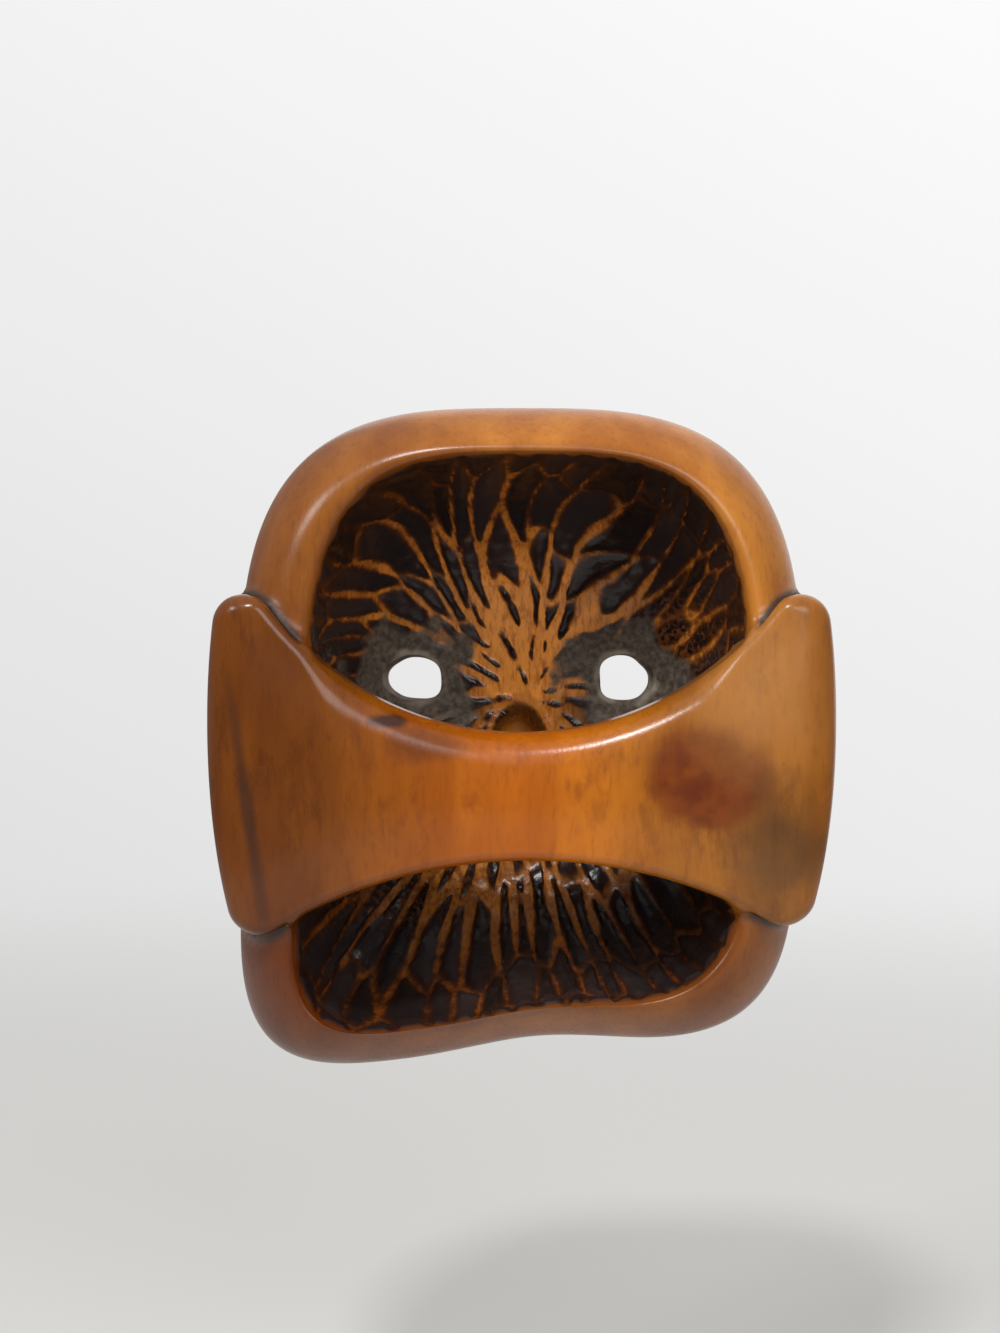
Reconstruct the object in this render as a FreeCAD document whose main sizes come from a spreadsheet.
# Mask netsuke: a small hollow-backed mask carved from boxwood, with a broad cord bar let into its back.
# Millimetres. +Z points to the crown, -Y is the way the face looks and +Y is the open back.
# Left and right are as seen from the back, so left is +X.
# The origin is the middle of the cord bar, the place that the cord loops round.

import FreeCAD, Part
import math
import os
import Sketcher

Vector = FreeCAD.Vector

# Name, value and meaning of each driving dimension.
SIZES = [
    ("half_width", 18.1, "outline centre to the side of the jaw at its widest"),
    ("brow_half_width", 18.5, "outline centre to the side of the brow at its widest"),
    ("crown_rise", 21.4, "outline centre to the crown"),
    ("left_jaw_drop", 21.5, "outline centre to the left half of the jaw"),
    ("right_jaw_drop", 20.3, "outline centre to the right half of the jaw"),
    ("outline_lift", 3.6, "outline centre above the cord bar"),
    ("chin_notch", 1.0, "dip in the middle of the lower rim"),
    ("left_lobe", 1.3, "extra reach of the left jaw corner, which is the fuller one"),
    ("hollow_lobe", 2.1, "the hollow's extra reach in the same corner"),
    ("waist_depth", 5.0, "bar centre to the blank's widest section"),
    ("dome_depth", 15.6, "bar centre to the front of the bare dome"),
    ("lip_height", 1.4, "bar centre back to the lip round the hollow"),
    ("lip_inset", 2.5, "how far the shoulder has drawn in at the lip"),
    ("side_wall", 4.1, "outline to hollow at the sides of the jaw"),
    ("brow_wall", 4.5, "outline to hollow at the sides of the brow"),
    ("crown_wall", 3.5, "outline to hollow at the crown"),
    ("jaw_wall", 3.1, "outline to hollow at the jaw"),
    ("hollow_shift", 0.5, "how far the hollow lies to the right of the middle"),
    ("hollow_depth", 12.8, "bar centre to the floor of the hollow"),
    ("nose_hollow_depth", 2.4, "pocket in the hollow behind the nose"),
    ("nose_hollow_half_width", 2.6, "half width of that pocket"),
    ("nose_hollow_half_height", 4.4, "half height of that pocket"),
    ("nose_hollow_rise", 1.0, "bar centre up to the middle of that pocket"),
    ("bar_thickness", 5.2, "cord bar, front to back"),
    ("bar_rise", 3.8, "bar centre to the bar's upper edge"),
    ("bar_fall", 4.2, "bar centre to the bar's lower edge"),
    ("wing_half_width", 19.9, "middle to the outside of a wing"),
    ("shoulder_lean", 0.3, "how far a wing's upper corner lies in from its flank"),
    ("heel_lean", 1.3, "how far a wing's lower corner lies in from its flank"),
    ("wing_rise", 12.6, "bar centre to the top of a wing"),
    ("left_wing_fall", 8.9, "bar centre to the foot of the left wing"),
    ("right_wing_fall", 8.3, "bar centre to the foot of the right wing"),
    ("wing_depth", 8.0, "bar centre to the front of a wing"),
    ("wing_flank", 0.5, "how far the plan's flank lies outside a wing"),
    ("wing_back_round", 3.4, "rounding of a wing's outer back edge"),
    ("wing_front_round", 4.4, "rounding of a wing's outer front edge"),
    ("wing_corner", 2.0, "rounding of a wing's corners, seen from the back"),
    ("edge_round", 1.0, "rounding of the bar's back edges"),
    ("seat_gap", 0.05, "glue line between the wings and their housings"),
    ("eye_hole_width", 3.7, "pierced eye, across"),
    ("eye_hole_height", 2.9, "pierced eye, up and down"),
    ("eye_rise", 7.2, "bar centre up to the line of the eyes"),
    ("lid_relief", 1.7, "swell of the lids in the socket"),
    ("lid_half_width", 3.2, "half width of the lids' swell"),
    ("lid_half_height", 1.8, "half height of the lids' swell"),
    ("socket_depth", 1.7, "hollow of an eye socket"),
    ("socket_half_width", 4.4, "half width of a socket"),
    ("socket_half_height", 2.9, "half height of a socket"),
    ("brow_rise", 3.9, "eye line up to the brow"),
    ("brow_relief", 0.7, "height of a brow"),
    ("brow_half_length", 4.6, "half length of a brow"),
    ("brow_half_height", 1.2, "half height of a brow"),
    ("nose_root", 8.6, "bar centre up to the nose's root"),
    ("nose_tip", 1.6, "bar centre down to the nose's tip"),
    ("nose_under", 1.8, "tip down to the nose's base"),
    ("nose_relief", 4.7, "height of the nose's tip"),
    ("nose_root_relief", 0.9, "height of the nose at its root"),
    ("bridge_half_width", 1.7, "half width of the nose's bridge"),
    ("nose_tip_half_width", 2.2, "half width of the nose's tip"),
    ("nostril_relief", 1.6, "height of the nostrils' wings"),
    ("nostril_place", 2.7, "middle to a nostril's wing"),
    ("nostril_half_width", 1.3, "half width of a nostril's wing"),
    ("cheek_relief", 1.5, "fullness of a cheek"),
    ("cheek_place", 9.6, "middle to the fullest part of a cheek"),
    ("cheek_fall", 2.4, "bar centre down to the cheeks"),
    ("cheek_half_width", 4.6, "half width of a cheek"),
    ("mouth_fall", 7.3, "bar centre down to the line of the mouth"),
    ("mouth_half_width", 5.2, "half width of the mouth"),
    ("lips_relief", 1.3, "height of the lips"),
    ("lips_half_height", 0.85, "half height of each lip"),
    ("muzzle_relief", 1.2, "swell of the face round the mouth"),
    ("muzzle_half_width", 6.4, "half width of that swell"),
    ("chin_fall", 12.4, "bar centre down to the chin's swell"),
    ("chin_relief", 1.9, "height of the chin's swell"),
    ("chin_half_width", 4.4, "half width of the chin's swell"),
    ("chin_half_height", 2.6, "half height of the chin's swell"),
    ("sight_distance", 12.0, "bar centre back to the point that the carved surfaces are laid out from"),
    ("cut_overrun", 10.0, "how far a cutting solid runs past what it cuts"),
]
# Squareness of a rounded form: 0 is an ellipse and 1 is a box.
CROWN_SQUARE_SHARE = 0.38
LEFT_JAW_SQUARE_SHARE = 0.64
RIGHT_JAW_SQUARE_SHARE = 0.545
DOME_SQUARE_SHARE = 0.17
SHOULDER_SQUARE_SHARE = 0.24
HOLLOW_MOUTH_SQUARE_SHARE = 0.48
HOLLOW_LEFT_JAW_SQUARE_SHARE = 0.66
HOLLOW_FLOOR_SQUARE_SHARE = 0.25
# The face is five eyes wide, so an eye's middle lies two fifths of the half width out.
EYE_PLACE_SHARE = 0.4
# Directions in the outline, as shares of a unit length: the chin's dip and the left jaw's lobe.
DIP_WIDTH_SHARE = 0.34
LOBE_PLACE_SHARE = 0.68
LOBE_WIDTH_SHARE = 0.24
# The hollow's rim follows only part of the chin's dip.
HOLLOW_DIP_SHARE = 0.5
# The lines that a carved surface is laid out on stand closer together in the middle of the face.
MIDDLE_SPACING_SHARE = 0.62

BLANK_COLUMN_COUNT = 57
BLANK_ROW_COUNT = 61
HOLLOW_COLUMN_COUNT = 37
HOLLOW_ROW_COUNT = 41
SOLVER_STEP_COUNT = 48

doc = FreeCAD.newDocument("MaskNetsuke")
sheet = doc.addObject("Spreadsheet::Sheet", "Sizes")
for row, (alias, value, meaning) in enumerate(SIZES, start=1):
    sheet.set(f"A{row}", alias)
    sheet.set(f"B{row}", str(value))
    sheet.set(f"C{row}", meaning)
    sheet.setAlias(f"B{row}", alias)
doc.recompute()


def size(alias):
    """The number in the sheet's cell of that name."""
    return float(getattr(sheet, alias))


def swell(offset, half_size):
    """A soft bump: 1 at the middle, fading out over the half size."""
    return math.exp(-((offset / half_size) ** 2))


def ease(share):
    """A smooth step from 0 to 1."""
    share = min(max(share, 0.0), 1.0)
    return share * share * (3 - 2 * share)


def power(square_share):
    """The exponent of a superellipse of that squareness."""
    return 2 / (1 - square_share)


def blend(first, last, share):
    """A value part of the way from the first to the last."""
    return first + (last - first) * share


def outline_radius(x, up, half_widths, rise, drops, top_share, jaw_shares, dip, lobe):
    """Distance from the outline's centre to the outline, in the direction of (x, up)."""
    reach = math.hypot(x, up)
    across, upright = x / reach, up / reach
    leftness = ease((1 + across / DIP_WIDTH_SHARE) / 2)
    half_width = blend(*half_widths, ease((1 + upright / DIP_WIDTH_SHARE) / 2))
    if upright >= 0:
        tall, fullness = rise, power(top_share)
    else:
        tall, fullness = blend(*drops, leftness), power(blend(*jaw_shares, leftness))
    plain = ((abs(across) / half_width) ** fullness + (abs(upright) / tall) ** fullness) ** (-1 / fullness)
    added = lobe * swell(across - LOBE_PLACE_SHARE, LOBE_WIDTH_SHARE) - dip * swell(across, DIP_WIDTH_SHARE)
    return plain + ease(-upright) * added


def blank_radius(x, up):
    """The blank's outline at its widest section."""
    half_widths = (size("half_width"), size("brow_half_width"))
    drops = (size("right_jaw_drop"), size("left_jaw_drop"))
    return outline_radius(
        x, up, half_widths, size("crown_rise"), drops, CROWN_SQUARE_SHARE,
        (RIGHT_JAW_SQUARE_SHARE, LEFT_JAW_SQUARE_SHARE), size("chin_notch"), size("left_lobe"),
    )


def hollow_radius(x, up):
    """The hollow's outline at the lip."""
    half_widths = (size("half_width") - size("side_wall"), size("brow_half_width") - size("brow_wall"))
    drops = [size(name) - size("jaw_wall") for name in ("right_jaw_drop", "left_jaw_drop")]
    return outline_radius(
        x, up, half_widths, size("crown_rise") - size("crown_wall"), drops, HOLLOW_MOUTH_SQUARE_SHARE,
        (HOLLOW_MOUTH_SQUARE_SHARE, HOLLOW_LEFT_JAW_SQUARE_SHARE),
        HOLLOW_DIP_SHARE * size("chin_notch"), size("hollow_lobe"),
    )


def dome_share(ahead, depth, square_share):
    """The size of a domed form at some way towards its front, as a share of its widest section."""
    exponent = power(square_share)
    return (1 - min(ahead / depth, 1.0) ** exponent) ** (1 / exponent)


def blank_share(y):
    """The blank's size at depth y: a dome in front of its widest section, and a drawn-in shoulder behind."""
    ahead = -size("waist_depth") - y
    if ahead > 0:
        return dome_share(ahead, size("dome_depth") - size("waist_depth"), DOME_SQUARE_SHARE)
    climb, exponent = -ahead / (size("waist_depth") + size("lip_height")), power(SHOULDER_SQUARE_SHARE)
    drawn_in = climb**exponent if climb < 1 else 1 + exponent * (climb - 1)
    return 1 - size("lip_inset") / size("half_width") * drawn_in


def hollow_share(y):
    """The hollow's size at depth y, as a share of its mouth."""
    ahead = max(size("lip_height") - y, 0.0)
    return dome_share(ahead, size("lip_height") + size("hollow_depth"), HOLLOW_FLOOR_SQUARE_SHARE)


def nose_height(x, z):
    """A ridge that rises from the root to the tip and turns under to its base, with a wing at each side."""
    down = (size("nose_root") - z) / (size("nose_root") + size("nose_tip"))
    along = ease(down) * min(max(down, 0.0), 1.0)
    ridge = blend(size("nose_root_relief") * ease(1 + down), size("nose_relief"), along)
    ridge *= 1 - ease((-size("nose_tip") - z) / size("nose_under"))
    nostrils = size("nostril_relief") * swell(z + size("nose_tip"), size("nose_under"))
    nostrils *= swell(abs(x) - size("nostril_place"), size("nostril_half_width"))
    return ridge * swell(x, blend(size("bridge_half_width"), size("nose_tip_half_width"), along)) + nostrils


def eye_height(x, z):
    """The sockets, the lids' swell in them, and the arched brows above."""
    across = abs(x) - EYE_PLACE_SHARE * size("half_width")
    above = z - size("eye_rise")
    socket = swell(across, size("socket_half_width")) * swell(above, size("socket_half_height"))
    lids = swell(across, size("lid_half_width")) * swell(above, size("lid_half_height"))
    out = across / size("brow_half_length")
    brow = swell(above - size("brow_rise") + size("brow_half_height") * out * out, size("brow_half_height"))
    brow *= swell(across, size("brow_half_length"))
    return size("lid_relief") * lids + size("brow_relief") * brow - size("socket_depth") * socket


def mouth_height(x, z):
    """The swell round the mouth, the two lips and the chin."""
    above = z + size("mouth_fall")
    span = ease(2 * (1 - abs(x) / size("mouth_half_width")))
    upper = swell(above - size("lips_half_height"), size("lips_half_height"))
    lower = swell(above + size("lips_half_height"), size("lips_half_height"))
    muzzle = swell(x, size("muzzle_half_width")) * swell(above, size("muzzle_half_width"))
    chin = swell(x, size("chin_half_width")) * swell(z + size("chin_fall"), size("chin_half_height"))
    lips = size("lips_relief") * span * (upper + lower)
    return lips + size("muzzle_relief") * muzzle + size("chin_relief") * chin


def cheek_height(x, z):
    """The fullness of the cheeks."""
    wide = size("cheek_half_width")
    fullness = swell(abs(x) - size("cheek_place"), wide) * swell(z + size("cheek_fall"), wide)
    return size("cheek_relief") * fullness


def face_relief(point):
    """The face's height over the bare dome. It fades out towards the widest section."""
    ahead = (-size("waist_depth") - point.y) / (size("dome_depth") - size("waist_depth"))
    x, z = point.x, point.z
    height = nose_height(x, z) + eye_height(x, z) + mouth_height(x, z) + cheek_height(x, z)
    return ease(2 * ahead) * height


def hollow_relief(point):
    """The pocket behind the nose, in the floor of the hollow."""
    pocket = swell(point.x, size("nose_hollow_half_width"))
    pocket *= swell(point.z - size("nose_hollow_rise"), size("nose_hollow_half_height"))
    return ease(-point.y / size("hollow_depth")) * size("nose_hollow_depth") * pocket


def sight_point():
    """The point behind the mask that every carved surface is laid out from."""
    return Vector(0, size("sight_distance"), size("outline_lift"))


def surface_point(direction, radius_of, share_of, deepest):
    """Where a line from the sight point meets a form, given by its outline and its share at each depth."""
    sight = sight_point()
    near, far = 0.0, sight.y + deepest
    for _ in range(SOLVER_STEP_COUNT):
        middle = (near + far) / 2
        point = sight + direction * middle
        up = point.z - sight.z
        reach = math.hypot(point.x, up)
        outside = reach > 0 and reach > share_of(point.y) * radius_of(point.x, up)
        near, far = (near, middle) if outside else (middle, far)
    return point


def spread(count, steepest):
    """Tangents of the lines of sight, closer together in the middle."""
    steps = [2 * step / (count - 1) - 1 for step in range(count)]
    return [steepest * (MIDDLE_SPACING_SHARE * s + (1 - MIDDLE_SPACING_SHARE) * s**3) for s in steps]


def carved_solid(counts, radius_of, share_of, deepest, relief):
    """A solid whose front is one spline surface and whose sides are flat fans from the sight point."""
    sight = sight_point()
    back = sight.y - size("lip_height")
    columns = spread(counts[0], size("half_width") / back)
    rows = spread(counts[1], max(size("crown_rise"), size("left_jaw_drop")) / back)
    grid = []
    for across in columns:
        sights = [Vector(across, -1, upright) for upright in rows]
        bare = [surface_point(direction, radius_of, share_of, deepest) for direction in sights]
        grid.append([Vector(point.x, point.y - relief(point), point.z) for point in bare])
    front = Part.BSplineSurface()
    front.interpolate(grid)
    face = front.toShape()
    faces = [face]
    for edge in face.OuterWire.Edges:
        first, last = edge.Vertexes[0].Point, edge.Vertexes[-1].Point
        fan = Part.sortEdges([edge, Part.makeLine(last, sight), Part.makeLine(sight, first)])[0]
        faces.append(Part.Face(Part.Wire(fan)))
    skin = Part.makeShell(faces)
    skin.sewShape()
    solid = Part.makeSolid(skin)
    return solid if solid.Volume > 0 else solid.reversed()


def feature(type_name, name, **links):
    """A document object with its links set."""
    made = doc.addObject(type_name, name)
    for key, value in links.items():
        setattr(made, key, value)
    return made


def computed(name, shape):
    """A feature that holds a shape worked out above."""
    made = doc.addObject("Part::Feature", name)
    made.Shape = shape
    return made


def bind(thing, expressions):
    """Binds an object's properties to the sheet."""
    for key, text in expressions.items():
        thing.setExpression(key, text)
    return thing


def block(name, lengths, corner):
    """A box whose sides and corner are bound to the sheet."""
    box = feature("Part::Box", name)
    bind(box, dict(zip(("Length", "Width", "Height"), lengths)))
    return bind(box, {f".Placement.Base.{axis}": text for axis, text in zip("xyz", corner)})


def flat_sketch(body, name, role):
    """A sketch on one of a body's own origin planes."""
    plane = next(item for item in body.Origin.OriginFeatures if item.Role == role)
    sketch = body.newObject("Sketcher::SketchObject", name)
    sketch.AttachmentSupport = [(plane, "")]
    sketch.MapMode = "FlatFace"
    return sketch


def dimension(sketch, kind, references, value, text):
    """Adds a dimension to a sketch and binds it to the sheet."""
    index = sketch.addConstraint(Sketcher.Constraint(kind, *references, value))
    sketch.setExpression(f"Constraints[{index}]", text)


def locate(sketch, vertex, place, texts):
    """Dimensions a sketch vertex from the origin. A text is given for a distance, so it is never negative."""
    for kind, value, text in zip(("DistanceX", "DistanceY"), place, texts):
        ends = (-1, 1, *vertex) if value > 0 else (*vertex, -1, 1)
        dimension(sketch, kind, ends, abs(value), text)


def arc_through(first, middle, last):
    """A sketch arc through three flat points."""
    return Part.Arc(*(Vector(across, up, 0) for across, up in (first, middle, last)))


def tangent_point(centre, radius, towards, side):
    """The point of a corner's circle that faces towards a point (side 1), or away from it (side -1)."""
    across, up = towards[0] - centre[0], towards[1] - centre[1]
    scale = side * radius / math.hypot(across, up)
    return (centre[0] + across * scale, centre[1] + up * scale)


def touching_centre(first, last, radius, passed, side):
    """The middle of a circle through a point that touches two equal corner circles from outside or inside.

    The corners lie inside it where side is 1, and outside it where side is -1. Its middle lies on the
    bisector of the corners' middles, so how far along it the middle lies is the root of a quadratic.
    """
    half_x, half_up = (last[0] - first[0]) / 2, (last[1] - first[1]) / 2
    half = math.hypot(half_x, half_up)
    across, up = first[0] + half_x, first[1] + half_up
    normal = (-half_up / half, half_x / half)
    off = (across - passed[0], up - passed[1])
    straight = off[0] ** 2 + off[1] ** 2 - radius**2 - half**2
    slope = 2 * (normal[0] * off[0] + normal[1] * off[1])
    square, twice = slope**2 - 4 * radius**2, straight * slope
    root = math.sqrt(twice**2 - square * (straight**2 - 4 * radius**2 * half**2))
    runs = [(sign * root - twice) / square for sign in (1, -1)]
    run = next(run for run in runs if side * (straight + slope * run) > 0)
    return (across + normal[0] * run, up + normal[1] * run)


def bow_tie(sketch, gap, more):
    """The cord bar seen from the back: hollow upper and lower edges, bowed flanks and four round corners."""
    radius = size("wing_corner") + gap
    half, middle = size("wing_half_width"), size("bar_rise") / 2
    names = [  # side, upper or lower, what sets the corner's height, how far it leans in
        (-1, 1, "wing_rise", "shoulder_lean"), (-1, -1, "right_wing_fall", "heel_lean"),
        (1, -1, "left_wing_fall", "heel_lean"), (1, 1, "wing_rise", "shoulder_lean"),
    ]
    centres = [
        (side * (half - size(lean) - size("wing_corner")), upward * (size(reach) - size("wing_corner")))
        for side, upward, reach, lean in names
    ]
    top, foot, flank = size("bar_rise") + gap, -size("bar_fall") - gap, half + gap
    passed = [(0, top), (-flank, middle), (0, foot), (flank, middle)]
    sides = (-1, 1, -1, 1)
    circles = [
        touching_centre(centres[number - 1], centres[number], radius, passed[number], side)
        for number, side in enumerate(sides)
    ]
    joints = []
    for number, centre in enumerate(centres):
        runs = (number, (number + 1) % len(centres))
        joints.append([tangent_point(centre, radius, circles[run], -sides[run]) for run in runs])
    for number, (first, last) in enumerate(joints):
        chord_middle = [(start + end) / 2 for start, end in zip(first, last)]
        knee = tangent_point(centres[number], radius, chord_middle, 1)
        sketch.addGeometry(arc_through(joints[number - 1][1], passed[number], first))
        sketch.addGeometry(arc_through(first, knee, last))
    for number, (side, upward, reach, lean) in enumerate(names):
        run, corner, following = 2 * number, 2 * number + 1, (2 * number + 2) % 8
        # A sketch arc runs anticlockwise, and the hollow edges bend the other way round.
        run_end, following_start = (1 if run in (0, 4) else 2), (2 if following in (0, 4) else 1)
        sketch.addConstraint(Sketcher.Constraint("Tangent", run, run_end, corner, 1))
        sketch.addConstraint(Sketcher.Constraint("Tangent", corner, 2, following, following_start))
        dimension(sketch, "Radius", (corner,), radius, f"Sizes.wing_corner{more}")
        across = f"Sizes.wing_half_width - Sizes.{lean} - Sizes.wing_corner"
        locate(sketch, (corner, 3), centres[number], (across, f"Sizes.{reach} - Sizes.wing_corner"))
    for number, (across, up) in enumerate(passed):
        point = sketch.addGeometry(Part.Point(Vector(across, up, 0)), True)
        sketch.addConstraint(Sketcher.Constraint("PointOnObject", point, 1, 2 * number))
        if across:
            locate(sketch, (point, 1), (across, up), (f"Sizes.wing_half_width{more}", "Sizes.bar_rise / 2"))
        else:
            ends = (-1, 1, point, 1) if up > 0 else (point, 1, -1, 1)
            sketch.addConstraint(Sketcher.Constraint("PointOnObject", point, 1, -2))
            dimension(sketch, "DistanceY", ends, abs(up), f"Sizes.bar_{'rise' if up > 0 else 'fall'}{more}")


def rounded_plan(sketch, gap, more):
    """The bar seen from above: a rectangle with broad rounds at its outer corners."""
    side, back = size("wing_half_width") + size("wing_flank") + gap, size("bar_thickness") / 2 + gap
    front = size("wing_depth") + gap
    wide, narrow = size("wing_front_round") + gap, size("wing_back_round") + gap
    runs = [
        ((wide - side, -front), (side - wide, -front)),
        ((side, wide - front), (side, back - narrow)),
        ((side - narrow, back), (narrow - side, back)),
        ((-side, back - narrow), (-side, wide - front)),
    ]
    knee = 1 - math.sqrt(0.5)
    bends = [(side, -front, wide), (side, back, narrow), (-side, back, narrow), (-side, -front, wide)]
    for number, (across, deep, radius) in enumerate(bends):
        start, end = runs[number][1], runs[(number + 1) % 4][0]
        middle = (across - math.copysign(radius * knee, across), deep - math.copysign(radius * knee, deep))
        sketch.addGeometry(Part.LineSegment(*(Vector(*point, 0) for point in runs[number])))
        sketch.addGeometry(arc_through(start, middle, end))
    for number, names in enumerate(("front", "back", "back", "front")):
        line, arc, following = 2 * number, 2 * number + 1, (2 * number + 2) % 8
        sketch.addConstraint(Sketcher.Constraint("Tangent", line, 2, arc, 1))
        sketch.addConstraint(Sketcher.Constraint("Tangent", arc, 2, following, 1))
        if number:
            sketch.addConstraint(Sketcher.Constraint("Vertical" if number % 2 else "Horizontal", line))
        dimension(sketch, "Radius", (arc,), sketch.Geometry[arc].Radius, f"Sizes.wing_{names}_round{more}")
    sketch.addConstraint(Sketcher.Constraint("Symmetric", 0, 1, 0, 2, -2))
    dimension(sketch, "DistanceX", (-1, 1, 2, 1), side, f"Sizes.wing_half_width + Sizes.wing_flank{more}")
    dimension(sketch, "DistanceY", (-1, 1, 4, 1), back, f"Sizes.bar_thickness / 2{more}")
    dimension(sketch, "DistanceY", (0, 1, -1, 1), front, f"Sizes.wing_depth{more}")


def padded(name, role, draw, gap, more, lengths):
    """A body with one sketch padded both ways."""
    body = feature("PartDesign::Body", name)
    sketch = flat_sketch(body, f"{name}_sketch", role)
    draw(sketch, gap, more)
    pad = body.newObject("PartDesign::Pad", f"{name}_pad")
    pad.Profile = sketch
    pad.SideType = "Two sides"
    bind(pad, dict(zip(("Length", "Length2"), lengths)))
    doc.recompute()
    return body


def softened(outline):
    """The bar's outline block with its back edges rounded."""
    back, near = size("bar_thickness") / 2, size("seat_gap") / 2
    edges = [
        (number, size("edge_round"), size("edge_round"))
        for number, edge in enumerate(outline.Shape.Edges, start=1)
        if abs(edge.BoundBox.YMin - back) < near and abs(edge.BoundBox.YMax - back) < near
    ]
    soft = feature("Part::Fillet", "soft_outline", Base=outline, Edges=edges)
    doc.recompute()
    return soft


def bar_block(name, gap, more, finish):
    """The bar's block: what its outline from the back and its plan from above have in common."""
    depths = ("Sizes.wing_depth + Sizes.cut_overrun", f"Sizes.bar_thickness / 2{more}")
    heights = [f"{text} + Sizes.cut_overrun" for text in ("Sizes.wing_rise", "Sizes.left_wing_fall")]
    outline = finish(padded(f"{name}_outline", "XZ_Plane", bow_tie, gap, more, depths))
    plan = padded(f"{name}_plan", "XY_Plane", rounded_plan, gap, more, heights)
    return feature("Part::MultiCommon", name, Shapes=[outline, plan])


def hollow_core():
    """The solid of the hollow, from its mouth to its floor."""
    counts = (HOLLOW_COLUMN_COUNT, HOLLOW_ROW_COUNT)
    solid = carved_solid(counts, hollow_radius, hollow_share, size("hollow_depth"), hollow_relief)
    hollow = computed("hollow_core", solid)
    return bind(hollow, {".Placement.Base.x": "-Sizes.hollow_shift"})


def eye_cutter(name, side):
    """An oval cutter for one pierced eye."""
    oval = feature("Part::Ellipse", f"{name}_oval")
    oval.Placement.Rotation = FreeCAD.Rotation(Vector(1, 0, 0), 90)
    bind(oval, {
        "MajorRadius": "Sizes.eye_hole_width / 2",
        "MinorRadius": "Sizes.eye_hole_height / 2",
        ".Placement.Base.x": f"{side * EYE_PLACE_SHARE} * Sizes.half_width",
        ".Placement.Base.z": "Sizes.eye_rise",
    })
    cutter = feature("Part::Extrusion", name, Base=oval, DirMode="Custom", Dir=Vector(0, -1, 0), Solid=True)
    return bind(cutter, {"LengthFwd": "Sizes.dome_depth + Sizes.cut_overrun"})


def mask_shell(core):
    """The carved shell: face outside, hollow inside, with two pierced eyes and a housing for each wing."""
    counts = (BLANK_COLUMN_COUNT, BLANK_ROW_COUNT)
    solid = carved_solid(counts, blank_radius, blank_share, size("dome_depth"), face_relief)
    blank = computed("blank", solid)
    half = "(Sizes.half_width + Sizes.cut_overrun)"
    tall = "(Sizes.crown_rise + Sizes.outline_lift + Sizes.cut_overrun)"
    behind = block("behind_lip", (f"2 * {half}", "Sizes.sight_distance + Sizes.cut_overrun", f"2 * {tall}"),
                   (f"-{half}", "Sizes.lip_height", f"-{tall}"))
    trimmed = feature("Part::Cut", "blank_to_lip", Base=blank, Tool=behind)
    hollowed = feature("Part::Cut", "hollowed", Base=trimmed, Tool=core)
    housing = bar_block("housing", size("seat_gap"), " + Sizes.seat_gap", lambda outline: outline)
    eyes = [eye_cutter("left_eye", 1), eye_cutter("right_eye", -1)]
    cutters = feature("Part::MultiFuse", "housing_and_eyes", Shapes=[housing, *eyes])
    shell = feature("Part::Cut", "shell_cut", Base=hollowed, Tool=cutters)
    shell.Label = "mask_shell"
    return shell


def rear_band(core):
    """The cord bar: free across the hollow, with a wing at each end that fills its housing in the shell."""
    bar = bar_block("bar", 0.0, "", softened)
    half = "(Sizes.half_width + Sizes.cut_overrun)"
    tall = "(Sizes.crown_rise + Sizes.outline_lift + Sizes.cut_overrun)"
    deep = "(Sizes.wing_depth + Sizes.cut_overrun)"
    front = block("front_of_bar", (f"2 * {half}", deep, f"2 * {tall}"),
                  (f"-{half}", f"-Sizes.bar_thickness / 2 - {deep}", f"-{tall}"))
    passage = feature("Part::MultiCommon", "cord_passage", Shapes=[core, front])
    band = feature("Part::Cut", "bar_cut", Base=bar, Tool=passage)
    band.Label = "rear_band"
    return band


def checked(piece):
    """Stops unless the piece is one valid solid."""
    shape = piece.Shape
    if shape.isNull() or not shape.isValid() or len(shape.Solids) != 1:
        raise RuntimeError(f"{piece.Label} is not one valid solid")
    return shape


core = hollow_core()
pieces = [mask_shell(core), rear_band(core)]
doc.recompute()
for item in doc.Objects:
    if {"Invalid", "Error"} & set(item.State):
        raise RuntimeError(f"{item.Name} failed: {item.State} {item.getStatusString()}")
os.makedirs("parts", exist_ok=True)
for piece in pieces:
    shape = checked(piece)
    shape.exportStep(os.path.join("parts", f"{piece.Label}.step"))
    bounds = shape.optimalBoundingBox(False)
    print(
        f"{piece.Label}: volume {shape.Volume:.1f}, X {bounds.XMin:.2f} to {bounds.XMax:.2f}, "
        f"Y {bounds.YMin:.2f} to {bounds.YMax:.2f}, Z {bounds.ZMin:.2f} to {bounds.ZMax:.2f}"
    )
